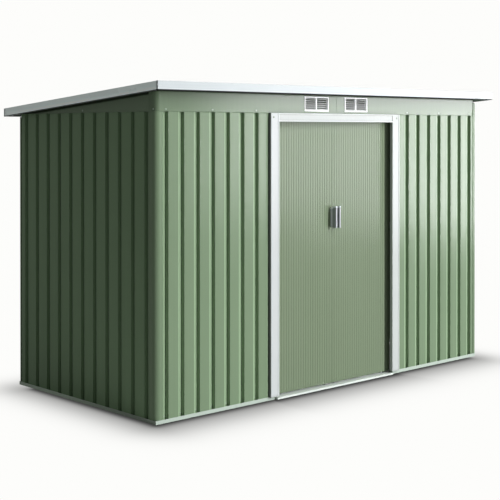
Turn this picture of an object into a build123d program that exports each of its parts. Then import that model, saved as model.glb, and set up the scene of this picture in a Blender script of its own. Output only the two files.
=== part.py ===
"""Sheet metal storage shed with a single-slope roof, two sliding doors and white trims.

Millimetres. +X runs along the front, the doors face -Y and +Z is up. The origin is on the ground,
at the middle of the roof's outline.
"""
import os
from math import atan2, cos, sin, tan

from build123d import *

# Walls, measured over the flats of the sheets
wall_width = 2652.0
wall_depth = 1282.0
wall_height = 1578.0

# Roof, measured over its edge trims; each rise is from the top of the wall sheets
roof_front_rise = 151.0
roof_back_rise = 32.0
overhang_front = 94.0
overhang_back = 74.0
overhang_side = 59.0
trim_height = 47.0
trim_sheet = 1.2
trim_top_lip = 14.0
trim_hem = 8.0
roof_sheet_drop = 14.0

# Corrugated sheet
sheet = 1.0
groove_width = 32.0
groove_run = 4.0
groove_depth = 17.0
front_groove_pitch = 104.4
front_first_groove = 65.0
side_groove_pitch = 112.8
side_groove_margin = 75.0
corner_radius = 30.0
corner_lap = 4.0
fascia_lip = 12.0

# Ground rails
rail_sheet = 1.5
rail_lip = 19.0
rail_width = 30.0
rail_inner_lip = 25.0

# Doorway
doorway_width = 956.0
header_height = 47.0
jamb_width = 64.0
jamb_proud = 18.0
jamb_sheet = 1.2
jamb_bead = 6.0
jamb_bead_step = 2.0
jamb_return = 2.5
jamb_hook = 34.0
sill_height = 10.0
sill_reach = 16.0
sill_end_gap = 10.0
sheet_edge_gap = 2.0
sill_back = 62.0

# Door leaves
leaf_setback = 30.0
leaf_sheet = 1.0
leaf_rib_pitch = 19.0
leaf_rib_width = 8.0
leaf_rib_run = 2.5
leaf_rib_depth = 1.5
leaf_meeting_gap = 5.0
leaf_overlap = 27.0
leaf_bottom_gap = 6.0
leaf_top_lap = 10.0
leaf_frame_depth = 10.0
leaf_rail_height = 40.0
leaf_stile_width = 20.0

# Hangers, rollers and the track that carries them
hanger_sheet = 2.5
hanger_width = 40.0
hanger_inset = 70.0
roller_diameter = 18.0
roller_width = 11.0
roller_rise = 15.0
roller_side_gap = 0.5
roller_track_gap = 6.0
axle_diameter = 6.0
running_gap = 0.3
track_sheet = 1.5
track_flange_drop = 40.0
guide_thickness = 4.0
guide_width = 40.0
guide_inset = 15.0
guide_drop = 12.0
guide_slot = 14.0

# Pull handles
handle_offset = 15.0
handle_height = 126.0
handle_base_height = 106.0
handle_reach = 44.0
handle_plate = 4.0
handle_flare_bow = 0.75
handle_grip = 11.0
handle_grip_depth = 6.0
handle_grip_radius = 2.4
handle_level = 981.0

# Top rails, braces and the roof beam
top_rail_sheet = 1.5
top_rail_width = 30.0
top_rail_drop = 40.0
brace_height = 40.0
brace_depth = 20.0
brace_level = 800.0
brace_sheet = 1.5
beam_height = 40.0
beam_width = 25.0
beam_sheet = 1.5

# Louvre vents in the front fascia
vent_width = 197.0
vent_height = 84.0
vent_centre = 166.5
vent_drop = 32.0
vent_lap = 5.0
vent_proud = 3.0
vent_collar_depth = 12.0
vent_collar_gap = 0.5
vent_collar_sheet = 1.5
vent_slats = 6
vent_slat_sheet = 1.5
vent_slat_rise = 3.0
vent_slat_inset = 1.0
vent_mullion = 6.0

roof_front_height = wall_height + roof_front_rise
roof_back_height = wall_height + roof_back_rise
roof_width = wall_width + 2 * overhang_side
roof_depth = wall_depth + overhang_front + overhang_back
y_roof_front = -roof_depth / 2
y_roof_back = roof_depth / 2
y_front = y_roof_front + overhang_front
y_back = y_roof_back - overhang_back
x_wall = wall_width / 2
x_roof = roof_width / 2
roof_fall = atan2(roof_front_height - roof_back_height, roof_depth)
down_slope = (0, cos(roof_fall), -sin(roof_fall))
roof_normal = (0, sin(roof_fall), cos(roof_fall))


def roof_top(y):
    """Height of the trims' upper edge at a given depth."""
    return roof_front_height - (y - y_roof_front) * tan(roof_fall)


def roof_under(y):
    """Height of the underside of the roof sheet at a given depth."""
    return roof_top(y) - roof_sheet_drop - sheet


roof_underside = Plane(origin=(0, y_front, roof_under(y_front)), x_dir=(1, 0, 0), z_dir=roof_normal)
wall_base = rail_sheet
doorway_height = wall_height - header_height
leaf_top = doorway_height + leaf_top_lap
fascia_base = wall_height + top_rail_sheet

os.makedirs("parts", exist_ok=True)


def save(part, name):
    """Label a finished piece and write it under its own name."""
    part.label = name
    export_step(part, f"parts/{name}.step")


def mirrored(part):
    """The same piece made for the other side of the shed."""
    with BuildPart() as twin:
        mirror(part, about=Plane.YZ)
    return twin.part


def wall_plane(side, height):
    """A level plane whose x runs along one wall's outer face, anticlockwise, and whose y points indoors."""
    starts = {
        "front": ((-x_wall, y_front), (1, 0, 0)),
        "right": ((x_wall, y_front), (0, 1, 0)),
        "back": ((x_wall, y_back), (-1, 0, 0)),
        "left": ((-x_wall, y_back), (0, -1, 0)),
    }
    (x, y), along = starts[side]
    return Plane(origin=(x, y, height), x_dir=along, z_dir=(0, 0, 1))


def ribbed_face(start, end, centres, width, run, depth, thickness):
    """Cross-section of a pressed sheet: flats at 0 and trapezoid channels that reach to depth."""
    side = 1 if depth > 0 else -1
    bend = atan2(abs(depth), run)
    inset = thickness * tan(bend / 2)
    near, far = [(start, 0)], [(start, side * thickness)]
    for c in centres:
        left, right = c - width / 2, c + width / 2
        near += [(left, 0), (left + run, depth), (right - run, depth), (right, 0)]
        far += [
            (left - inset, side * thickness),
            (left + run - inset, depth + side * thickness),
            (right - run + inset, depth + side * thickness),
            (right + inset, side * thickness),
        ]
    near.append((end, 0))
    far.append((end, side * thickness))
    with BuildSketch(mode=Mode.PRIVATE) as section:
        with BuildLine():
            Polyline(*near, *reversed(far), close=True)
        make_face()
    return section.sketch


def spaced(first, last, pitch):
    """Centres from first at a steady pitch, as many as fit before last."""
    count = int((last - first) / pitch + 0.001) + 1
    return [first + pitch * i for i in range(count)]


def spread(first, last, pitch):
    """Centres evenly spread from first to last, about a pitch apart."""
    gaps = max(1, round((last - first) / pitch))
    return [first + (last - first) * i / gaps for i in range(gaps + 1)]


# Ground rails: channels that the wall sheets stand in
rail_inset = rail_width - rail_sheet


def ground_rail(side, flange, lip, inner):
    """A channel along one wall; each of its three plates runs from a start to an end along the wall."""
    plates = (
        (flange, rail_inset / 2, rail_inset, rail_sheet),
        (lip, -rail_sheet / 2, rail_sheet, rail_lip),
        (inner, rail_inset - rail_sheet / 2, rail_sheet, rail_inner_lip),
    )
    with BuildPart() as rail:
        for (start, end), across, thickness, height in plates:
            with BuildSketch(wall_plane(side, 0)):
                with Locations(((start + end) / 2, across)):
                    Rectangle(end - start, thickness)
            extrude(amount=height)
    return rail.part


rail_end = x_wall - doorway_width / 2 - 2 * sill_end_gap
front_rail = ground_rail("front", (0, rail_end), (-rail_sheet, rail_end), (rail_inset, rail_end))
save(front_rail, "base_rail_front_left")
save(mirrored(front_rail), "base_rail_front_right")
side_span = (rail_inset, wall_depth - rail_inset)
side_rail = ground_rail("left", side_span, (0, wall_depth), side_span)
save(side_rail, "base_rail_left")
save(mirrored(side_rail), "base_rail_right")
back_lip = (-rail_sheet, wall_width + rail_sheet)
back_rail = ground_rail("back", (0, wall_width), back_lip, (rail_inset, wall_width - rail_inset))
save(back_rail, "base_rail_back")

# Corrugated wall sheets
sheet_depth = groove_depth + sheet
side_groove_span = wall_depth - 2 * side_groove_margin
side_first_groove = (wall_depth - side_groove_pitch * round(side_groove_span / side_groove_pitch)) / 2
front_leg = front_first_groove - groove_width / 2 - corner_lap
side_leg = side_first_groove - groove_width / 2 - corner_lap


def wall_sheet(side, start, end, centres):
    face = ribbed_face(start, end, centres, groove_width, groove_run, groove_depth, sheet)
    with BuildPart() as wall:
        with BuildSketch(wall_plane(side, wall_base)):
            add(face)
        extrude(amount=wall_height - wall_base)
    return wall.part


front_sheet_end = x_wall - doorway_width / 2 - sill_end_gap - sheet_edge_gap
front_grooves = spaced(front_first_groove, front_sheet_end - groove_width / 2, front_groove_pitch)
front_wall = wall_sheet("front", front_leg, front_sheet_end, front_grooves)
save(front_wall, "front_wall_left")
save(mirrored(front_wall), "front_wall_right")

side_grooves = spread(side_first_groove, wall_depth - side_first_groove, side_groove_pitch)
side_wall = wall_sheet("left", side_leg, wall_depth - side_leg, side_grooves)
save(side_wall, "left_wall")
save(mirrored(side_wall), "right_wall")

back_grooves = spread(front_first_groove, wall_width - front_first_groove, front_groove_pitch)
back_seam = (back_grooves[len(back_grooves) // 2] + back_grooves[len(back_grooves) // 2 - 1]) / 2
back_halves = (
    ("back_wall_right", front_leg, back_seam, [c for c in back_grooves if c < back_seam]),
    ("back_wall_left", back_seam, wall_width - front_leg, [c for c in back_grooves if c > back_seam]),
)
for name, start, end, centres in back_halves:
    save(wall_sheet("back", start, end, centres), name)


# Bent corner sheets
def bent_corner(leg_x, leg_y):
    """An L of sheet seen from above, rounded at the corner, with its outer corner at the sketch origin."""
    with BuildSketch(mode=Mode.PRIVATE) as section:
        with BuildLine():
            outer = FilletPolyline((leg_x, 0), (0, 0), (0, leg_y), radius=corner_radius)
            inner = FilletPolyline(
                (leg_x, sheet), (sheet, sheet), (sheet, leg_y), radius=corner_radius - sheet
            )
            Line(outer @ 0, inner @ 0)
            Line(outer @ 1, inner @ 1)
        make_face()
    return section.sketch


with BuildPart() as corner_front:
    with BuildSketch(Plane(origin=(-x_wall, y_front, wall_base))):
        add(bent_corner(front_leg, side_leg))
    extrude(amount=wall_height - wall_base)
save(corner_front.part, "corner_front_left")
save(mirrored(corner_front.part), "corner_front_right")

with BuildPart() as corner_back:
    with BuildSketch(Plane(origin=(-x_wall, y_back, wall_base), x_dir=(0, -1, 0))):
        add(bent_corner(side_leg, front_leg))
    extrude(amount=wall_height - wall_base)
save(corner_back.part, "corner_back_left")
save(mirrored(corner_back.part), "corner_back_right")


# Angle rails round the top of the walls
def top_rail(side, start, end):
    with BuildPart() as rail:
        with BuildSketch(wall_plane(side, wall_height)):
            with Locations(((start + end) / 2, (sheet + top_rail_width) / 2)):
                Rectangle(end - start, top_rail_width - sheet)
        extrude(amount=top_rail_sheet)
        with BuildSketch(wall_plane(side, wall_height - top_rail_drop)):
            with Locations(((start + end) / 2, sheet_depth + top_rail_sheet / 2)):
                Rectangle(end - start, top_rail_sheet)
        extrude(amount=top_rail_drop)
    return rail.part


side_top = top_rail("left", top_rail_width, wall_depth - front_leg)
save(side_top, "top_rail_left")
save(mirrored(side_top), "top_rail_right")
save(top_rail("back", corner_radius, wall_width - corner_radius), "top_rail_back")

# Door track: one rolled section behind the header that also closes the top of the front wall
leaf_back = leaf_setback + leaf_rib_depth + leaf_sheet
frame_back = leaf_back + leaf_frame_depth
plate_back = frame_back + hanger_sheet
roller_front = plate_back + roller_side_gap
roller_back = roller_front + roller_width
ledge_front = roller_front + roller_width / 2
ledge_level = leaf_top + roller_rise - roller_diameter / 2 - running_gap
track_web = roller_back + roller_track_gap
track_half = x_wall - front_leg
with BuildPart() as door_track:
    with BuildSketch(Plane(origin=(-track_half, y_front, 0), x_dir=(0, 1, 0), z_dir=(1, 0, 0))):
        with BuildLine():
            Polyline(
                (sheet, wall_height),
                (sheet_depth, wall_height),
                (sheet_depth, wall_height - track_flange_drop),
                (sheet_depth + track_sheet, wall_height - track_flange_drop),
                (sheet_depth + track_sheet, wall_height),
                (track_web, wall_height),
                (track_web, ledge_level),
                (ledge_front, ledge_level),
                (ledge_front, ledge_level - track_sheet),
                (track_web + track_sheet, ledge_level - track_sheet),
                (track_web + track_sheet, fascia_base),
                (sheet, fascia_base),
                close=True,
            )
        make_face()
    extrude(amount=2 * track_half)
save(door_track.part, "door_track")

# Smooth front fascia in two pieces, bent round the corners, with a lip that rests on the track's
# flange and a hole for each vent
vent_level = roof_under(y_front) - vent_drop - vent_height / 2
vent_hole_width = vent_width - 2 * vent_lap
vent_hole_height = vent_height - 2 * vent_lap
with BuildPart() as fascia:
    with BuildSketch(Plane(origin=(-x_wall, y_front, wall_height))):
        add(bent_corner(x_wall, side_leg))
    extrude(amount=roof_front_rise)
    split(bisect_by=roof_underside, keep=Keep.BOTTOM)
    with BuildSketch(Plane.XY.offset(fascia_base)):
        with Locations(((corner_radius - x_wall) / 2, y_front + fascia_lip / 2)):
            Rectangle(x_wall - corner_radius, fascia_lip)
    extrude(amount=sheet)
    with BuildSketch(Plane(origin=(-vent_centre, y_front, vent_level), x_dir=(1, 0, 0), z_dir=(0, 1, 0))):
        Rectangle(vent_hole_width, vent_hole_height)
    extrude(amount=sheet, mode=Mode.SUBTRACT)
save(fascia.part, "front_fascia_left")
save(mirrored(fascia.part), "front_fascia_right")

# Smooth gable panels that taper to the rear, and the low strip that closes the back, each with a
# lip that rests on the top rail
gable_front = y_front + side_leg
with BuildPart() as gable:
    with BuildSketch(Plane.YZ.offset(-x_wall)):
        with BuildLine():
            Polyline(
                (gable_front, wall_height),
                (y_back - sheet, wall_height),
                (y_back - sheet, roof_under(y_back - sheet)),
                (gable_front, roof_under(gable_front)),
                close=True,
            )
        make_face()
    extrude(amount=sheet)
    gable_back = y_back - fascia_lip
    with BuildSketch(Plane.XY.offset(fascia_base)):
        with Locations((fascia_lip / 2 - x_wall, (gable_front + gable_back) / 2)):
            Rectangle(fascia_lip, gable_back - gable_front)
    extrude(amount=sheet)
save(gable.part, "gable_left")
save(mirrored(gable.part), "gable_right")

with BuildPart() as back_strip:
    with BuildSketch(Plane.YZ.offset(-x_wall)):
        with BuildLine():
            Polyline(
                (y_back, wall_height),
                (y_back, roof_under(y_back)),
                (y_back - sheet, roof_under(y_back - sheet)),
                (y_back - sheet, wall_height),
                close=True,
            )
        make_face()
    extrude(amount=wall_width)
    with BuildSketch(Plane.XY.offset(fascia_base)):
        with Locations((0, y_back - fascia_lip / 2)):
            Rectangle(wall_width - 2 * sheet, fascia_lip)
    extrude(amount=sheet)
save(back_strip.part, "back_fascia")

# Louvre vent: a moulded frame on the fascia, and a collar through its hole that carries a mullion
# and two columns of slats, set back and tilted to shed rain
collar_width = vent_hole_width - 2 * vent_collar_gap
collar_height = vent_hole_height - 2 * vent_collar_gap
clear_width = collar_width - 2 * vent_collar_sheet
clear_height = collar_height - 2 * vent_collar_sheet
slat_pitch = clear_height / vent_slats
slat_margin = (slat_pitch - vent_slat_rise - vent_slat_sheet) / 2
slat_low = vent_level - clear_height / 2 + slat_margin
slat_front = y_front + vent_slat_inset
slat_back = y_front + vent_collar_depth - vent_slat_inset
with BuildPart() as vent:
    with BuildSketch(Plane(origin=(-vent_centre, y_front, vent_level), x_dir=(1, 0, 0), z_dir=(0, -1, 0))):
        Rectangle(vent_width, vent_height)
        Rectangle(clear_width, clear_height, mode=Mode.SUBTRACT)
    extrude(amount=vent_proud)
    chamfer(vent.faces().sort_by(Axis.Y)[0].outer_wire().edges(), length=vent_proud / 2)
    with BuildSketch(Plane(origin=(-vent_centre, y_front, vent_level), x_dir=(1, 0, 0), z_dir=(0, -1, 0))):
        Rectangle(collar_width, collar_height)
        Rectangle(clear_width, clear_height, mode=Mode.SUBTRACT)
        Rectangle(vent_mullion, collar_height)
    extrude(amount=-vent_collar_depth)
    with BuildSketch(Plane.YZ.offset(-vent_centre - (clear_width + vent_collar_sheet) / 2)):
        for i in range(vent_slats):
            with BuildLine():
                z = slat_low + slat_pitch * i
                Polyline(
                    (slat_front, z),
                    (slat_back, z + vent_slat_rise),
                    (slat_back, z + vent_slat_rise + vent_slat_sheet),
                    (slat_front, z + vent_slat_sheet),
                    close=True,
                )
            make_face()
    extrude(amount=clear_width + vent_collar_sheet)
save(vent.part, "vent_left")
save(mirrored(vent.part), "vent_right")

# Door jambs and header: folded channels with a raised bead along each edge
jamb_outer = -doorway_width / 2 - jamb_width
jamb_inner = -doorway_width / 2
face_y = y_front - jamb_proud
panel_y = face_y + jamb_bead_step
with BuildPart() as jamb:
    with BuildSketch(Plane.XY.offset(rail_lip)):
        with BuildLine():
            Polyline(
                (jamb_outer, y_front),
                (jamb_outer, face_y),
                (jamb_outer + jamb_bead, face_y),
                (jamb_outer + jamb_bead + jamb_bead_step, panel_y),
                (jamb_inner - jamb_bead - jamb_bead_step, panel_y),
                (jamb_inner - jamb_bead, face_y),
                (jamb_inner, face_y),
                (jamb_inner, y_front + sheet + jamb_sheet),
                (jamb_inner - jamb_hook, y_front + sheet + jamb_sheet),
                (jamb_inner - jamb_hook, y_front + sheet),
                (jamb_inner - jamb_sheet, y_front + sheet),
                (jamb_inner - jamb_sheet, face_y + jamb_sheet),
                (jamb_inner - jamb_bead, face_y + jamb_sheet),
                (jamb_inner - jamb_bead - jamb_bead_step, panel_y + jamb_sheet),
                (jamb_outer + jamb_bead + jamb_bead_step, panel_y + jamb_sheet),
                (jamb_outer + jamb_bead, face_y + jamb_sheet),
                (jamb_outer + jamb_sheet, face_y + jamb_sheet),
                (jamb_outer + jamb_sheet, y_front),
                close=True,
            )
        make_face()
    extrude(amount=wall_height - rail_lip)
save(jamb.part, "door_jamb_left")
save(mirrored(jamb.part), "door_jamb_right")

with BuildPart() as header:
    with BuildSketch(Plane.YZ.offset(jamb_inner)):
        with BuildLine():
            Polyline(
                (y_front, wall_height),
                (face_y, wall_height),
                (face_y, wall_height - jamb_bead),
                (panel_y, wall_height - jamb_bead - jamb_bead_step),
                (panel_y, doorway_height + jamb_bead + jamb_bead_step),
                (face_y, doorway_height + jamb_bead),
                (face_y, doorway_height),
                (y_front + jamb_return, doorway_height),
                (y_front + jamb_return, doorway_height + jamb_sheet),
                (face_y + jamb_sheet, doorway_height + jamb_sheet),
                (face_y + jamb_sheet, doorway_height + jamb_bead),
                (panel_y + jamb_sheet, doorway_height + jamb_bead + jamb_bead_step),
                (panel_y + jamb_sheet, wall_height - jamb_bead - jamb_bead_step),
                (face_y + jamb_sheet, wall_height - jamb_bead),
                (face_y + jamb_sheet, wall_height - jamb_sheet),
                (y_front, wall_height - jamb_sheet),
                close=True,
            )
        make_face()
    extrude(amount=doorway_width)
save(header.part, "door_header")

# Door sill: a low channel across the doorway with a slot for the leaves' bottom guides
slot_middle = leaf_back + leaf_frame_depth / 2
sill_half = doorway_width / 2 + sill_end_gap
with BuildPart() as sill:
    with BuildSketch(Plane.YZ.offset(-sill_half)):
        with BuildLine():
            Polyline(
                (y_front - sill_reach, 0),
                (y_front - sill_reach, sill_height),
                (y_front + slot_middle - guide_slot / 2, sill_height),
                (y_front + slot_middle - guide_slot / 2, rail_sheet),
                (y_front + slot_middle + guide_slot / 2, rail_sheet),
                (y_front + slot_middle + guide_slot / 2, sill_height),
                (y_front + sill_back, sill_height),
                (y_front + sill_back, 0),
                close=True,
            )
        make_face()
    extrude(amount=2 * sill_half)
    tongue_y = (jamb_return + rail_inset) / 2
    with BuildSketch(Plane.XY):
        for x in (-sill_half - sill_end_gap / 2, sill_half + sill_end_gap / 2):
            with Locations((x, y_front + tongue_y)):
                Rectangle(sill_end_gap, rail_inset - jamb_return)
    extrude(amount=rail_sheet)
save(sill.part, "door_sill")

# Door leaves: finely ribbed sheet with its upright edges folded back
leaf_inner = -leaf_meeting_gap / 2
leaf_outer = -doorway_width / 2 - leaf_overlap
leaf_bottom = sill_height + leaf_bottom_gap
leaf_middle = (leaf_inner + leaf_outer) / 2
leaf_width = leaf_inner - leaf_outer
leaf_margin = leaf_stile_width / 2
leaf_ribs = spread(leaf_margin, leaf_width - leaf_margin, leaf_rib_pitch)
with BuildPart() as leaf:
    with BuildSketch(Plane(origin=(leaf_outer, y_front + leaf_setback, leaf_bottom))):
        add(ribbed_face(0, leaf_width, leaf_ribs, leaf_rib_width, leaf_rib_run, leaf_rib_depth, leaf_sheet))
        for edge in (leaf_sheet / 2, leaf_width - leaf_sheet / 2):
            with Locations((edge, (leaf_rib_depth + leaf_sheet) / 2)):
                Rectangle(leaf_sheet, leaf_rib_depth + leaf_sheet)
    extrude(amount=leaf_top - leaf_bottom)
save(leaf.part, "left_door_leaf")
save(mirrored(leaf.part), "right_door_leaf")

# Door frames: folded rails and stiles behind the sheet, with two hangers above
frame_plane = Plane(origin=(0, y_front + leaf_back, 0), x_dir=(1, 0, 0), z_dir=(0, -1, 0))
leaf_height = leaf_top - leaf_bottom
rail_levels = (
    leaf_bottom + leaf_rail_height / 2,
    (leaf_bottom + leaf_top) / 2,
    leaf_top - leaf_rail_height / 2,
)
window_height = (rail_levels[2] - rail_levels[0] - 2 * leaf_rail_height) / 2
with BuildPart() as door_frame:
    with BuildSketch(frame_plane):
        with Locations((leaf_middle, (leaf_bottom + leaf_top) / 2)):
            Rectangle(leaf_width, leaf_height)
        for low, high in zip(rail_levels, rail_levels[1:]):
            with Locations((leaf_middle, (low + high) / 2)):
                Rectangle(leaf_width - 2 * leaf_stile_width, window_height, mode=Mode.SUBTRACT)
    extrude(amount=-leaf_frame_depth)
    for x in (leaf_outer + hanger_inset, leaf_inner - hanger_inset):
        with BuildSketch(Plane(origin=(x, y_front + frame_back, leaf_top), x_dir=(1, 0, 0), z_dir=(0, 1, 0))):
            with Locations((0, (leaf_rail_height - roller_rise - axle_diameter) / 2)):
                Rectangle(hanger_width, leaf_rail_height + roller_rise + axle_diameter)
        extrude(amount=hanger_sheet)
save(door_frame.part, "left_door_frame")
save(mirrored(door_frame.part), "right_door_frame")

# Nylon running gear: a roller on its axle at each hanger, and a guide that rides in the sill's slot
with BuildPart() as rollers:
    for x in (leaf_outer + hanger_inset, leaf_inner - hanger_inset):
        axle_end = Plane(
            origin=(x, y_front + plate_back, leaf_top + roller_rise), x_dir=(1, 0, 0), z_dir=(0, 1, 0)
        )
        with BuildSketch(axle_end):
            Circle(axle_diameter / 2)
        extrude(amount=roller_back - plate_back + sheet)
        with BuildSketch(axle_end.offset(roller_front - plate_back)):
            Circle(roller_diameter / 2)
        extrude(amount=roller_width)
    guide_x = leaf_inner - guide_inset - guide_width / 2
    with BuildSketch(Plane(origin=(guide_x, y_front + slot_middle, leaf_bottom))):
        Rectangle(guide_width, guide_thickness)
    extrude(amount=-guide_drop)
save(rollers.part, "left_door_rollers")
save(mirrored(rollers.part), "right_door_rollers")

# Pull handle: a plate that flares forward from its flange, with a rounded grip along its front edge
flare = (handle_height - handle_base_height) / 2
leaf_face = y_front + leaf_setback
with BuildPart() as handle:
    with BuildSketch(Plane.YZ.offset(-handle_offset - handle_plate / 2)):
        with BuildLine():
            half_base, half_front = handle_base_height / 2, handle_height / 2
            tip_y = leaf_face - handle_reach
            Line((leaf_face, handle_level - half_base), (leaf_face, handle_level + half_base))
            ThreePointArc(
                (leaf_face, handle_level + half_base),
                (leaf_face - handle_reach / 2, handle_level + half_base + handle_flare_bow * flare),
                (tip_y, handle_level + half_front),
            )
            Line((tip_y, handle_level + half_front), (tip_y, handle_level - half_front))
            ThreePointArc(
                (tip_y, handle_level - half_front),
                (leaf_face - handle_reach / 2, handle_level - half_base - handle_flare_bow * flare),
                (leaf_face, handle_level - half_base),
            )
        make_face()
    extrude(amount=handle_plate)
    with BuildSketch(Plane(origin=(-handle_offset, tip_y, handle_level - half_front))):
        RectangleRounded(handle_grip, handle_grip_depth, radius=handle_grip_radius)
    extrude(amount=handle_height)
save(handle.part, "left_door_handle")
save(mirrored(handle.part), "right_door_handle")


# Roof sheets, ribbed from front to back
def roof_sheet(start, end, centres):
    rib_height = roof_sheet_drop - trim_sheet - trim_top_lip * tan(roof_fall)
    y_start = y_roof_front + trim_sheet
    length = (roof_depth - 2 * trim_sheet) / cos(roof_fall)
    pan = Plane(origin=(0, y_start, roof_under(y_start)), x_dir=(1, 0, 0), z_dir=(0, -1, 0))
    face = ribbed_face(start, end, centres, groove_width, groove_run, rib_height, sheet)
    with BuildPart() as roof:
        with BuildSketch(pan):
            add(face)
        extrude(amount=length, dir=down_slope)
    return roof.part


roof_edge = x_roof - trim_sheet
roof_ribs = [c for c in spread(-x_wall, x_wall, front_groove_pitch) if c < -groove_width]
roof_half = roof_sheet(-roof_edge, 0, roof_ribs)
save(roof_half, "roof_sheet_left")
save(mirrored(roof_half), "roof_sheet_right")


# Roof edge trims: a tall face, a lip over the sheet and a small hem underneath
def trim_section(lip):
    """Section of a trim seen from its end: outer face at x = 0, the roof towards +x, top edge at y = 0."""
    with BuildSketch(mode=Mode.PRIVATE) as section:
        with BuildLine():
            Polyline(
                (0, 0),
                (lip, 0),
                (lip, -trim_sheet),
                (trim_sheet, -trim_sheet),
                (trim_sheet, trim_sheet - trim_height),
                (trim_hem, trim_sheet - trim_height),
                (trim_hem, -trim_height),
                (0, -trim_height),
                close=True,
            )
        make_face()
    return section.sketch


def level_trim(end, y, height, forward):
    """A trim along the front or back edge, folded round both ends to meet the side trims."""
    section = Plane(origin=(end, y, height), x_dir=(0, forward, 0), z_dir=(forward, 0, 0))
    with BuildPart() as trim:
        with BuildSketch(section):
            add(trim_section(trim_top_lip))
        extrude(amount=roof_width)
        with BuildSketch(section, section.offset(roof_width - trim_sheet)):
            with Locations((trim_top_lip / 2, -trim_height / 2)):
                Rectangle(trim_top_lip, trim_height)
        extrude(amount=trim_sheet)
    return trim.part


save(level_trim(-x_roof, y_roof_front, roof_front_height, 1), "roof_trim_front")
save(level_trim(x_roof, y_roof_back, roof_back_height, -1), "roof_trim_back")

trim_start = y_roof_front + trim_top_lip
with BuildPart() as trim_side:
    with BuildSketch(
        Plane(origin=(-x_roof, trim_start, roof_top(trim_start)), x_dir=(1, 0, 0), z_dir=(0, -1, 0))
    ):
        add(trim_section(trim_top_lip))
    extrude(amount=(roof_depth - 2 * trim_top_lip) / cos(roof_fall), dir=down_slope)
save(trim_side.part, "roof_trim_left")
save(mirrored(trim_side.part), "roof_trim_right")

# Roof beam: a channel from gable to gable under the middle of the roof
beam_plane = Plane(origin=(-x_wall + sheet, 0, roof_under(0)), x_dir=down_slope, z_dir=(1, 0, 0))
with BuildPart() as beam:
    with BuildSketch(beam_plane):
        with Locations((0, -beam_height / 2)):
            Rectangle(beam_width, beam_height)
        with Locations((beam_sheet, -beam_height / 2)):
            Rectangle(beam_width, beam_height - 2 * beam_sheet, mode=Mode.SUBTRACT)
    extrude(amount=wall_width - 2 * sheet)
save(beam.part, "roof_beam")


# Mid-height wall braces that the sheets are screwed to
def brace(side, start, end):
    middle = ((start + end) / 2, sheet_depth + brace_depth / 2)
    with BuildPart() as bar:
        with BuildSketch(wall_plane(side, brace_level)):
            with Locations(middle):
                Rectangle(end - start, brace_depth)
        extrude(amount=brace_height)
        with BuildSketch(wall_plane(side, brace_level + brace_sheet)):
            with Locations(middle):
                with Locations((0, brace_sheet)):
                    Rectangle(end - start, brace_depth)
        extrude(amount=brace_height - 2 * brace_sheet, mode=Mode.SUBTRACT)
    return bar.part


side_brace = brace("left", sheet_depth + brace_depth, wall_depth - corner_radius - track_web)
save(side_brace, "wall_brace_left")
save(mirrored(side_brace), "wall_brace_right")
save(brace("back", sheet_depth, wall_width - sheet_depth), "wall_brace_back")
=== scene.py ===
"""Looks of the sheet metal storage shed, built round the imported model. Metres, +Z up, doors towards -Y."""
import math

import bmesh
import bpy
from mathutils import Matrix, Vector


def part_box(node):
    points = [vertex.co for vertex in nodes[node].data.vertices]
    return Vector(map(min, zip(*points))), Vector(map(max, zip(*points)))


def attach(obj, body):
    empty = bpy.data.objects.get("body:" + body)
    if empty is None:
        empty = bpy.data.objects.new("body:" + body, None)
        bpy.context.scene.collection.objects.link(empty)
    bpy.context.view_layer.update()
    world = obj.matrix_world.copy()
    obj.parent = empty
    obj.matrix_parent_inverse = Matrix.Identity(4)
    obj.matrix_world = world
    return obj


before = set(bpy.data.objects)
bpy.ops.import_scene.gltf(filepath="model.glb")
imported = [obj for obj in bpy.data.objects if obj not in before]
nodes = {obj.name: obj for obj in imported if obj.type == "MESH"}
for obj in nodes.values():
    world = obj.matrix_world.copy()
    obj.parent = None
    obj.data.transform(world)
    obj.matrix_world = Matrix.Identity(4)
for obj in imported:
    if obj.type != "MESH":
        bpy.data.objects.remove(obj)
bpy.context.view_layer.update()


# Camera: a level-standing viewer to the left of the front, looking at the near corner. The tilt is
# small and the shift does the rest, so the walls stay upright in the picture.
view_turn = math.radians(42.697)
view_tilt = math.radians(0.434)
picture_width = 500
focal_pixels = 1164.62
drop_pixels = 110.76
sensor_width = 36
viewer_from_corner = Vector((-3.6151, -4.6169, 1.4822))
near_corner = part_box("corner_front_left")[0].to_2d().to_3d()
camera = bpy.data.objects.new("camera", bpy.data.cameras.new("camera"))
bpy.context.scene.collection.objects.link(camera)
camera.location = near_corner + viewer_from_corner
camera.rotation_euler = (math.pi / 2 - view_tilt, 0, -view_turn)
camera.data.sensor_width = sensor_width
camera.data.lens = sensor_width * focal_pixels / picture_width
camera.data.shift_y = -drop_pixels / picture_width
bpy.context.scene.camera = camera
bpy.context.scene.view_settings.view_transform = "Standard"


# Light: a tall strip to the right of the doors is the main light. It is narrow, so upright edges
# throw crisp shadows, and it reaches high, so level edges throw soft ones. A long pale screen to the
# right only shows in the paint's gloss, as the sheen of the upper right front.
main_turn = math.radians(21)
main_distance = 12.5
main_height = 5.9
main_aim = (0, 0, 1.2)
main_size = (1.0, 12.1)
main_power = 2250

screen_left, screen_right = Vector((9.33, -12.4)), Vector((7.0, -3.5))
screen_height = 4.5
screen_foot = 0.13
screen_power_per_area = 58 * math.pi
screen_tint = (0.97, 0.96, 1.0)


def lamp_panel(name, place, aim, size, power):
    lamp = bpy.data.objects.new(name, bpy.data.lights.new(name, "AREA"))
    bpy.context.scene.collection.objects.link(lamp)
    lamp.data.shape = "RECTANGLE"
    lamp.data.size, lamp.data.size_y = size
    lamp.data.energy = power
    lamp.location = place
    lamp.rotation_euler = (Vector(aim) - Vector(place)).to_track_quat("-Z", "Y").to_euler()
    lamp.visible_camera = False
    return lamp


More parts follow.
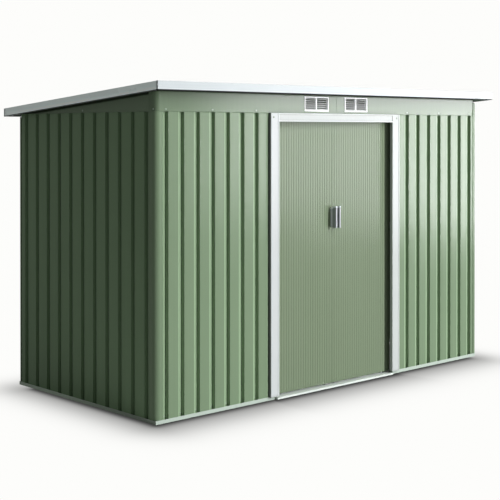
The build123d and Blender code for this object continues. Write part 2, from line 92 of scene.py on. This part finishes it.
main_place = (main_distance * math.sin(main_turn), -main_distance * math.cos(main_turn), main_height)
lamp_panel("main_light", main_place, main_aim, main_size, main_power)

screen_run = screen_right - screen_left
screen_middle = (screen_left + screen_right) / 2
screen_place = Vector((screen_middle.x, screen_middle.y, screen_foot + screen_height / 2))
screen_out = Vector((-screen_run.y, screen_run.x, 0)).normalized()
screen_size = (screen_run.length, screen_height)
sheen_light = lamp_panel(
    "sheen_light", screen_place, screen_place + screen_out, screen_size,
    screen_power_per_area * screen_run.length * screen_height,
)
sheen_light.data.color = screen_tint
sheen_light.visible_diffuse = False


# Room: a weak even fill lights the shed from all round. The eye and the gloss see white paper in its
# place.
room_level = 0.165
room_tint = (0.98, 1.03, 0.97, 1)
paper_white = (0.982, 0.982, 0.965, 1)


def step(tree, kind, operation, *values):
    """One Math or VectorMath node. Each value is a socket, a plain number or a plain triple."""
    node = tree.nodes.new(f"ShaderNode{kind}")
    node.operation = operation
    for socket, value in zip(node.inputs, values):
        if isinstance(value, bpy.types.NodeSocket):
            tree.links.new(value, socket)
        else:
            socket.default_value = value
    return node.outputs["Value" if kind == "Math" or operation == "DOT_PRODUCT" else "Vector"]


def split_rays(tree, lighting, background, end):
    """Show the background to the eye, in reflections and through glass, and light the shed with the
    other shader."""
    path = tree.nodes.new("ShaderNodeLightPath").outputs
    seen = step(tree, "Math", "MAXIMUM", path["Is Camera Ray"], path["Is Glossy Ray"])
    seen = step(tree, "Math", "MAXIMUM", seen, path["Is Transmission Ray"])
    mix = tree.nodes.new("ShaderNodeMixShader")
    tree.links.new(seen, mix.inputs["Fac"])
    tree.links.new(lighting.outputs[0], mix.inputs[1])
    tree.links.new(background.outputs[0], mix.inputs[2])
    tree.links.new(mix.outputs[0], tree.nodes.new(end).inputs["Surface"])


world = bpy.data.worlds.new("room")
bpy.context.scene.world = world
world.use_nodes = True
world.node_tree.nodes.clear()
room_fill = world.node_tree.nodes.new("ShaderNodeBackground")
room_fill.inputs["Color"].default_value = room_tint
room_fill.inputs["Strength"].default_value = room_level
room_paper = world.node_tree.nodes.new("ShaderNodeBackground")
room_paper.inputs["Color"].default_value = paper_white
split_rays(world.node_tree, room_fill, room_paper, "ShaderNodeOutputWorld")


# Floor: a pale sheet of paper, wide enough to meet the white room. It carries a painted shadow round
# the shed's foot, a soft dark band drawn from the footprints, a tight one at the rails and a wide one
# over half a metre, and it bounces a little light back at the walls.
floor_reach = 60.0
bounce_grey = (0.64, 0.64, 0.63, 1)
footprints = (((-1.3275, -0.6325), (1.22, 0.47)), ((-0.505, -0.651), (0.505, -0.60)))
end_squeeze = (1.24, 1, 1)
shadow_bands = ((0.85, 340), (0.62, 16.2))

floor_mesh = bmesh.new()
bmesh.ops.create_grid(floor_mesh, x_segments=1, y_segments=1, size=floor_reach)
floor = bpy.data.objects.new("floor", bpy.data.meshes.new("floor"))
floor_mesh.to_mesh(floor.data)
floor_mesh.free()
bpy.context.scene.collection.objects.link(floor)

paper = bpy.data.materials.new("paper_floor")
paper.use_nodes = True
sheet = paper.node_tree
sheet.nodes.clear()
spot = sheet.nodes.new("ShaderNodeTexCoord").outputs["Object"]
distances = []
for low, high in footprints:
    middle = ((low[0] + high[0]) / 2, (low[1] + high[1]) / 2, 0)
    half = ((high[0] - low[0]) / 2, (high[1] - low[1]) / 2, 0)
    away = step(sheet, "VectorMath", "ABSOLUTE", step(sheet, "VectorMath", "SUBTRACT", spot, middle))
    away = step(sheet, "VectorMath", "SUBTRACT", away, half)
    away = step(sheet, "VectorMath", "MAXIMUM", away, (0, 0, 0))
    away = step(sheet, "VectorMath", "MULTIPLY", away, end_squeeze)
    distances.append(step(sheet, "VectorMath", "DOT_PRODUCT", away, away))
squared_distance = step(sheet, "Math", "MINIMUM", *distances)
# Painted shadow: dark bands that fade with the distance from the footprints.
bands = []
for depth, fall in shadow_bands:
    fade = step(sheet, "Math", "EXPONENT", step(sheet, "Math", "MULTIPLY", squared_distance, -fall))
    bands.append(step(sheet, "Math", "MULTIPLY_ADD", fade, -depth, 1))
shown = sheet.nodes.new("ShaderNodeEmission")
shown.inputs["Color"].default_value = paper_white
sheet.links.new(step(sheet, "Math", "MULTIPLY", *bands), shown.inputs["Strength"])
bounce = sheet.nodes.new("ShaderNodeBsdfDiffuse")
bounce.inputs["Color"].default_value = bounce_grey
split_rays(sheet, bounce, shown, "ShaderNodeOutputMaterial")
floor.data.materials.append(paper)


# Ground rails and sill: folded steel channels with a pale coat, laid on the ground to take the wall
# sheets and the doors' guides. Like all the shed's steel they are painted first and bent afterwards, so
# the coat has drawing lines and rounded bends, and a painted shade darkens its tight corners. The
# front rails, the far rails and the sill get lit and shaded copies of one white: the far rails and the
# sill are painted paler to lift their shade, and the far rails darker towards the front corner as
# painted shade.
crevice_shade_reach = 0.035
mottle_scale, grain_scale = 2.2, 320
up, outward, rightward, inward = (0, 0, 1), (0, -1, 0), (1, 0, 0), (0, 1, 0)


def noise(tree, vector, scale, detail):
    texture = tree.nodes.new("ShaderNodeTexNoise")
    texture.inputs["Scale"].default_value = scale
    texture.inputs["Detail"].default_value = detail
    tree.links.new(vector, texture.inputs["Vector"])
    return texture.outputs["Fac"]


def ramp(tree, source, start, end, low, high):
    """A value that runs from low to high while its source runs from start to end."""
    run = tree.nodes.new("ShaderNodeMapRange")
    for name, value in (("From Min", start), ("From Max", end), ("To Min", low), ("To Max", high)):
        run.inputs[name].default_value = value
    tree.links.new(source, run.inputs["Value"])
    return run.outputs["Result"]


def shade(material, strength):
    """Multiply a paint's colour by a value that differs from place to place."""
    tree = material.node_tree
    colour = tree.nodes["Principled BSDF"].inputs["Base Color"]
    product = tree.nodes.new("ShaderNodeMix")
    product.data_type = "RGBA"
    product.blend_type = "MULTIPLY"
    product.inputs["Factor"].default_value = 1
    product.inputs["A"].default_value = colour.default_value
    if colour.is_linked:
        tree.links.new(colour.links[0].from_socket, product.inputs["A"])
    tree.links.new(strength, product.inputs["B"])
    tree.links.new(product.outputs["Result"], colour)


def shade_along(material, direction, start, end, low, high, gloss=False):
    """Shade a paint by a value that runs from low to high between two places along a direction. With
    gloss, its reflection is dimmed in the same way."""
    tree = material.node_tree
    place = tree.nodes.new("ShaderNodeTexCoord").outputs["Object"]
    strength = ramp(tree, step(tree, "VectorMath", "DOT_PRODUCT", place, direction), start, end, low, high)
    shade(material, strength)
    if gloss:
        full_gloss = tree.nodes["Principled BSDF"].inputs["Specular IOR Level"]
        tree.links.new(step(tree, "Math", "MULTIPLY", strength, full_gloss.default_value), full_gloss)


def coated_metal(
    name, colour, roughness, gloss_index, bend_radius, streak_scale=(60, 60, 1.2), streak=0.03, crevice_shade=0.7
):
    """The paint of a coated sheet. The streak scale is low along the way in which it was drawn."""
    material = bpy.data.materials.new(name)
    material.use_nodes = True
    tree = material.node_tree
    paint = tree.nodes["Principled BSDF"]
    paint.inputs["Base Color"].default_value = (*colour, 1)
    paint.inputs["IOR"].default_value = gloss_index
    place = tree.nodes.new("ShaderNodeTexCoord").outputs["Object"]
    mottle = noise(tree, place, mottle_scale, 5)

    along = tree.nodes.new("ShaderNodeMapping")
    along.inputs["Scale"].default_value = streak_scale
    tree.links.new(place, along.inputs["Vector"])
    lines = step(tree, "Math", "ADD", mottle, noise(tree, along.outputs["Vector"], 1.0, 3))
    shade(material, ramp(tree, lines, 0.6, 1.4, 1 - streak, 1 + streak))
    # Painted shade: the colour darkens in tight corners and creases, by how closed in they are.
    openness = tree.nodes.new("ShaderNodeAmbientOcclusion")
    openness.samples = 8
    openness.inputs["Distance"].default_value = crevice_shade_reach
    shade(material, step(tree, "Math", "MULTIPLY_ADD", openness.outputs["AO"], crevice_shade, 1 - crevice_shade))

    wear = ramp(tree, mottle, 0.3, 0.7, roughness - 0.03, roughness + 0.03)
    tree.links.new(wear, paint.inputs["Roughness"])
    rounded = tree.nodes.new("ShaderNodeBevel")
    rounded.samples = 6
    rounded.inputs["Radius"].default_value = bend_radius
    peel = tree.nodes.new("ShaderNodeBump")
    peel.inputs["Strength"].default_value = 0.04
    peel.inputs["Distance"].default_value = 0.001
    tree.links.new(noise(tree, place, grain_scale, 2), peel.inputs["Height"])
    tree.links.new(rounded.outputs["Normal"], peel.inputs["Normal"])
    tree.links.new(peel.outputs["Normal"], paint.inputs["Normal"])
    return material


def dress(material, *names):
    for name in names:
        nodes[name].data.materials.clear()
        nodes[name].data.materials.append(material)


rail_paint = coated_metal(
    "rail_white", (0.46, 0.53, 0.48), roughness=0.30, gloss_index=1.085, bend_radius=0.0015,
    streak_scale=(2, 2, 80), crevice_shade=0.1,
)
dress(rail_paint, "base_rail_front_left", "base_rail_front_right")
# Painted light: a paler copy of the rails' white, to lift the shade on the far rails.
far_rail_paint = coated_metal(
    "far_rail_white", (0.66, 0.75, 0.66), roughness=0.30, gloss_index=1.085, bend_radius=0.0015,
    streak_scale=(80, 2, 80), crevice_shade=0.1,
)
# Painted shade: the far rails darken towards the front corner.
shade_along(far_rail_paint, inward, -0.63, 0.2, 0.48, 1.0)
dress(far_rail_paint, "base_rail_left", "base_rail_right", "base_rail_back")
# Painted light: a paler, glossier copy of the rails' white, to lift the shade on the sill.
sill_paint = coated_metal(
    "sill_white", (0.74, 0.80, 0.77), roughness=0.30, gloss_index=1.25, bend_radius=0.0015,
    streak_scale=(2, 2, 80), crevice_shade=0.3,
)
dress(sill_paint, "door_sill")


# Side and back sheets, and the bent corners: thin steel strip, coated green and cold-rolled into deep
# narrow channels, which keep the shade. They stand in the ground rails. Their paint and the front
# sheets' are lit and shaded copies of one green, each tuned to the light on its side, and a painted
# shade darkens it towards the top. The front corners get a darker copy, as painted shade.
wall_paint = coated_metal(
    "wall_green", (0.188, 0.280, 0.165), roughness=0.18, gloss_index=1.11, bend_radius=0.006, crevice_shade=0.05
)
# Painted shade: darker towards the top.
shade_along(wall_paint, up, 0.3, 1.5, 1.0, 0.93)
dress(wall_paint, "left_wall", "right_wall", "back_wall_left", "back_wall_right")
dress(wall_paint, "corner_back_left", "corner_back_right")
# Painted shade: a darker copy of the walls' green for the front corners.
front_corner_paint = coated_metal(
    "front_corner_green", (0.176, 0.244, 0.156), roughness=0.18, gloss_index=1.11, bend_radius=0.006,
    crevice_shade=0.05,
)
dress(front_corner_paint, "corner_front_left", "corner_front_right")


# Front wall sheets: the same steel, in their own copy of the green tuned to the light on the front,
# with a painted shade towards the top. Each channel's left bend carries a painted highlight, a light
# upright line, and the channels' floors are painted paler than the flats to lift the shade in them.
bend_pitch = 0.1044
bend_highlight, bend_core, bend_blur = 1.8, 0.025, 0.075
sheet_flat, channel_floor = -0.628, -0.62
for node, first_bend in (("front_wall_left", -1.2785), ("front_wall_right", -1.2635)):
    front_paint = coated_metal(
        f"{node}_green", (0.184, 0.255, 0.163), roughness=0.18, gloss_index=1.11, bend_radius=0.006,
        crevice_shade=0.05,
    )
    # Painted shade: darker towards the top.
    shade_along(front_paint, up, 0.3, 1.5, 1.0, 0.91)
    tree = front_paint.node_tree
    place = tree.nodes.new("ShaderNodeTexCoord").outputs["Object"]
    across = step(tree, "VectorMath", "DOT_PRODUCT", place, rightward)
    bends = step(tree, "Math", "SUBTRACT", across, first_bend - bend_pitch / 2)
    bends = step(tree, "Math", "FRACT", step(tree, "Math", "DIVIDE", bends, bend_pitch))
    from_bend = step(tree, "Math", "ABSOLUTE", step(tree, "Math", "SUBTRACT", bends, 0.5))
    # Painted highlight along each channel's left bend.
    shade(front_paint, ramp(tree, from_bend, bend_core, bend_blur, bend_highlight, 1.0))
    # Painted light: the channels' floors are lifted out of their shade.
    shade_along(front_paint, inward, sheet_flat, channel_floor, 1.0, 1.35)
    dress(front_paint, node)


# Corner angles: narrow green strips bent to a right angle, which cover the far wall ends from the
# ground rails to the fascias. The front one has a sharp bend, and the back ones a blunt nose.
angle_sheet, angle_foot = 0.0012, 0.014
angle_paint = coated_metal(
    "angle_green", (0.165, 0.232, 0.146), roughness=0.18, gloss_index=1.10, bend_radius=0.0005, crevice_shade=0.05
)


def add_piece(name, shape, material):
    piece = bpy.data.objects.new(name, bpy.data.meshes.new(name))
    shape.to_mesh(piece.data)
    shape.free()
    piece.data.materials.append(material)
    bpy.context.scene.collection.objects.link(piece)
    return piece


for corner, leg_x, leg_y, nose, top in (
    ("front_right", 0.019, 0.036, 0.001, 1.664),
    ("back_left", 0.036, 0.019, 0.008, 1.560),
    ("back_right", 0.036, 0.019, 0.008, 1.560),
):
    low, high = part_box(f"corner_{corner}")
    corner_x, inward_x = (high.x, -1) if corner.endswith("right") else (low.x, 1)
    corner_y, inward_y = (low.y, 1) if corner.startswith("front") else (high.y, -1)
    section = (
        (nose, -angle_sheet), (leg_x, -angle_sheet), (leg_x, 0), (nose, 0), (0, nose), (0, leg_y),
        (-angle_sheet, leg_y), (-angle_sheet, nose),
    )
    strip = bmesh.new()
    foot = strip.faces.new(
        [strip.verts.new((corner_x + inward_x * u, corner_y + inward_y * v, angle_foot)) for u, v in section]
    )
    walls = bmesh.ops.extrude_face_region(strip, geom=[foot])
    raised = [part for part in walls["geom"] if isinstance(part, bmesh.types.BMVert)]
    bmesh.ops.translate(strip, vec=(0, 0, top - angle_foot), verts=raised)
    bmesh.ops.recalc_face_normals(strip, faces=strip.faces)
    angle = add_piece(f"corner_angle_{corner}", strip, angle_paint)
    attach(angle, "shed")


# Inner steel: galvanised rails, braces, track, beam and door frames, rolled and left unpainted, with a
# faint spangle. They carry the sheets, the roof and the doors.
zinc = coated_metal(
    "galvanised", (0.52, 0.54, 0.55), roughness=0.45, gloss_index=1.45, bend_radius=0.0008, streak=0.05,
    crevice_shade=0.4,
)
zinc.node_tree.nodes["Principled BSDF"].inputs["Metallic"].default_value = 0.3
dress(zinc, "top_rail_left", "top_rail_right", "top_rail_back", "door_track", "roof_beam")
dress(zinc, "wall_brace_left", "wall_brace_right", "wall_brace_back", "left_door_frame", "right_door_frame")


# Fascia and gable panels: the green steel left smooth and folded at the corners. Right under the
# roof's edge a painted shade darkens them into a dark line and dims their gloss.
roof_slope = 0.0821
square_to_roof = (0, roof_slope, 1)
fascia_shade, gable_shade = 1.6255, 1.6135
fascia_paint = coated_metal(
    "fascia_green", (0.145, 0.199, 0.130), roughness=0.16, gloss_index=1.12, bend_radius=0.003
)
# Painted shade: a dark line right under the roof's edge, with dimmed gloss.
shade_along(fascia_paint, square_to_roof, fascia_shade, fascia_shade + 0.006, 1.0, 0.12, gloss=True)
dress(fascia_paint, "front_fascia_left", "front_fascia_right", "back_fascia")
gable_paint = coated_metal(
    "gable_green", (0.165, 0.222, 0.148), roughness=0.16, gloss_index=1.12, bend_radius=0.003
)
# Painted shade: a dark line right under the roof's edge, with dimmed gloss.
shade_along(gable_paint, square_to_roof, gable_shade, gable_shade + 0.007, 1.0, 0.2, gloss=True)
dress(gable_paint, "gable_left", "gable_right")


# Louvre vents: moulded white plastic with a fine grain, set into holes in the fascia. A painted shade
# darkens them towards the top, and their slats, which lie behind the frames' faces, are painted whiter
# to lift the shade there.
vent_plastic = coated_metal(
    "vent_white", (0.76, 0.78, 0.77), roughness=0.30, gloss_index=1.30, bend_radius=0.0008, streak=0.01,
    crevice_shade=0.0,
)
# Painted shade: darker towards the top.
shade_along(vent_plastic, up, 1.597, 1.665, 1.05, 0.85)
# Painted light: the slats behind the frames are lifted out of their shade.
shade_along(vent_plastic, inward, -0.6325, -0.6315, 1.0, 1.25)
dress(vent_plastic, "vent_left", "vent_right")


# Door jambs and header: folded white channels with raised beads, fixed over the wall sheets' edges.
# The beads carry a painted highlight, and each jamb's left bend a painted shade that also dims its
# gloss. The three pieces get lit and shaded copies of one white, each tuned to the light on it.
bead_foot, bead_crown = 0.6475, 0.6487
bend_width, bend_blend = 0.003, 0.002
for node, colour, bend_shade in (
    ("door_jamb_left", (0.57, 0.595, 0.605), 0.42),
    ("door_jamb_right", (0.53, 0.56, 0.555), 0.8),
    ("door_header", (0.52, 0.545, 0.54), None),
):
    trim_paint = coated_metal(
        f"{node}_white", colour, roughness=0.20, gloss_index=1.085, bend_radius=0.0015, streak=0.02,
        crevice_shade=0.9,
    )
    # Painted highlight on the raised beads.
    shade_along(trim_paint, outward, bead_foot, bead_crown, 0.97, 1.17)
    # Painted shade on each jamb's left bend, with dimmed gloss.
    if bend_shade:
        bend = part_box(node)[0].x + bend_width
        shade_along(trim_paint, rightward, bend, bend + bend_blend, bend_shade, 1.0, gloss=True)
    dress(trim_paint, node)


# Door sheets: the same steel in a slightly greyer green, pressed into fine upright ribs. The left
# sheet's inner edge is folded forward into a narrow lip that closes the slit between the two doors.
door_paint = coated_metal(
    "door_green", (0.184, 0.233, 0.156), roughness=0.17, gloss_index=1.09, bend_radius=0.003, crevice_shade=0.25
)
dress(door_paint, "left_door_leaf", "right_door_leaf")

lip_width, lip_depth, lip_sunk = 0.0046, 0.0022, 0.0005
leaf_low, leaf_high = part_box("left_door_leaf")
lip_low = Vector((leaf_high.x, leaf_low.y + lip_sunk, leaf_low.z))
lip_size = Vector((lip_width, lip_depth, leaf_high.z - leaf_low.z))
lip_mesh = bmesh.new()
bmesh.ops.create_cube(lip_mesh, size=1)
bmesh.ops.scale(lip_mesh, vec=lip_size, verts=lip_mesh.verts)
bmesh.ops.translate(lip_mesh, vec=lip_low + lip_size / 2, verts=lip_mesh.verts)
meeting_lip = add_piece("meeting_lip", lip_mesh, door_paint)
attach(meeting_lip, "left_door")


# Rollers and bottom guides: moulded nylon, greyed by use. They hang the doors from the track and keep
# them in the sill's slot.
nylon = coated_metal(
    "roller_nylon", (0.30, 0.32, 0.29), roughness=0.5, gloss_index=1.45, bend_radius=0.0008, streak=0.02
)
dress(nylon, "left_door_rollers", "right_door_rollers")


# Pull handles: silver-coated plates that stand out from the doors' meeting edges. Their sides carry a
# painted shade that darkens them towards the front, and the rounded grip and the upper edge carry
# painted highlights.
handle_finish = coated_metal(
    "handle_silver", (0.59, 0.62, 0.66), roughness=0.25, gloss_index=1.12, bend_radius=0.003, streak=0.02,
    crevice_shade=0.3,
)
# Painted shade towards the front, then painted highlights on the grip and the upper edge.
shade_along(handle_finish, outward, 0.603, 0.622, 1.7, 0.5)
shade_along(handle_finish, outward, 0.6383, 0.6393, 1.0, 1.6)
shade_along(handle_finish, (0, 0.227, 1), 0.8895, 0.8905, 1.0, 2.2)
dress(handle_finish, "left_door_handle", "right_door_handle")


# Roof sheets and edge trims: the walls' green steel, ribbed and laid from front to back, and folded
# white strip round it, brushed along its length. The trims' lowest few millimetres are painted shade,
# which also dims their gloss, and the fold just above it carries a painted highlight. The side trims
# get a paler, glossier copy of the white to lift the shade on the shed's sides, and a painted highlight
# towards their lower edge.
dress(wall_paint, "roof_sheet_left", "roof_sheet_right")
shaded_edge_depth, highlight_fold_depth = 0.0045, 0.009
for node in ("roof_trim_front", "roof_trim_back"):
    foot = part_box(node)[0].z
    roof_trim_paint = coated_metal(
        f"{node}_white", (0.53, 0.57, 0.59), roughness=0.20, gloss_index=1.085, bend_radius=0.0015,
        streak_scale=(1.5, 1.5, 90), streak=0.04, crevice_shade=0.3,
    )
    # Painted highlight on the fold, then painted shade on the lowest few millimetres.
    shade_along(roof_trim_paint, up, foot + highlight_fold_depth, foot + highlight_fold_depth + 0.003, 1.12, 1.0)
    shade_along(roof_trim_paint, up, foot + shaded_edge_depth, foot + shaded_edge_depth + 0.001, 0.08, 1.0, gloss=True)
    dress(roof_trim_paint, node)
# Painted light: a paler, glossier copy of the trims' white, to lift the shade on the sides.
side_trim_paint = coated_metal(
    "side_trim_white", (0.88, 0.98, 0.98), roughness=0.28, gloss_index=1.55, bend_radius=0.0015,
    streak_scale=(90, 1.5, 90), streak=0.05, crevice_shade=0.3,
)
# Painted highlight towards the lower edge, then painted shade on the lowest millimetre.
shade_along(side_trim_paint, square_to_roof, 1.628, 1.645, 1.25, 1.0)
shade_along(side_trim_paint, square_to_roof, 1.6265, 1.6275, 0.1, 1.0, gloss=True)
dress(side_trim_paint, "roof_trim_left", "roof_trim_right")


# Screws: zinc-plated pan heads on washers, driven from outside. They sit in the wall channels along
# the ground rails and under the top rails, along the foot of the fascia and the gables, and at the
# jambs' upper ends.
head_section = (
    (0, 0.0026), (0.0018, 0.0024), (0.0032, 0.0017), (0.0038, 0.0009), (0.0052, 0.0008), (0.0054, 0.0004),
    (0.0054, 0),
)
head_steps = 16
merge_gap = 0.00001
foot_height, head_height, fascia_height = 0.030, 1.560, 1.590
channel_depth = 0.017
first_channel = 0.065
front_pitch, front_channels = 0.1044, 7
back_channels = 25
first_side_channel, side_pitch, side_channels = 0.077, 0.1128, 11
gable_screws = (0.018, 0.640)
jamb_screw_x, jamb_screw_height, jamb_bead = 0.518, 1.556, 0.002
screw_plate = coated_metal(
    "screw_zinc", (0.32, 0.40, 0.32), roughness=0.45, gloss_index=1.07, bend_radius=0.0004, streak=0.02,
    crevice_shade=0.2,
)


def screws(name, seats, facing):
    """One mesh of pan heads, each on a seat and looking out along facing."""
    heads = bmesh.new()
    turn = Vector(up).rotation_difference(Vector(facing)).to_matrix().to_4x4()
    for seat in seats:
        ring = [heads.verts.new((radius, 0, height)) for radius, height in head_section]
        profile = ring + [heads.edges.new(pair) for pair in zip(ring, ring[1:])]
        bmesh.ops.spin(
            heads, geom=profile, cent=(0, 0, 0), axis=up, angle=math.tau, steps=head_steps, use_merge=True
        )
        made = [vert for vert in heads.verts if not vert.tag]
        bmesh.ops.transform(heads, matrix=Matrix.Translation(seat) @ turn, verts=made)
        for vert in made:
            vert.tag = True
    bmesh.ops.remove_doubles(heads, verts=heads.verts, dist=merge_gap)
    bmesh.ops.recalc_face_normals(heads, faces=heads.faces)
    for face in heads.faces:
        face.smooth = True
    screw_heads = add_piece(name, heads, screw_plate)
    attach(screw_heads, "shed")


wall_right, back_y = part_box("right_wall")[1].x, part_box("back_wall_left")[1].y
front_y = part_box("front_wall_left")[0].y
jamb_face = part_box("door_jamb_left")[0].y + jamb_bead
front_reach = [first_channel + front_pitch * i for i in range(front_channels)]
back_pitch = 2 * (wall_right - first_channel) / (back_channels - 1)
back_x = [first_channel - wall_right + back_pitch * i for i in range(back_channels)]
side_y = [front_y + first_side_channel + side_pitch * i for i in range(side_channels)]

front_x = [side * (wall_right - reach) for side in (-1, 1) for reach in front_reach]
screws("screws_front_wall", [(x, front_y + channel_depth, foot_height) for x in front_x], outward)
back_seats = [(x, back_y - channel_depth, foot_height) for x in back_x]
back_seats += [(x, back_y - channel_depth, head_height) for x in back_x[::2]]
screws("screws_back_wall", back_seats, inward)
for side, name in ((-1, "left"), (1, "right")):
    channel_x = side * (wall_right - channel_depth)
    side_seats = [(channel_x, y, foot_height) for y in side_y]
    side_seats += [(channel_x, y, head_height) for y in side_y[1::2]]
    screws(f"screws_{name}_wall", side_seats, (side, 0, 0))
    gable_seats = [(side * wall_right, front_y + reach, fascia_height) for reach in gable_screws]
    screws(f"screws_{name}_gable", gable_seats, (side, 0, 0))
fascia_x = [side * (wall_right - reach) for side in (-1, 1) for reach in front_reach[::3]]
screws("screws_fascia", [(x, front_y, fascia_height) for x in fascia_x], outward)
screws("screws_jambs", [(side * jamb_screw_x, jamb_face, jamb_screw_height) for side in (-1, 1)], outward)
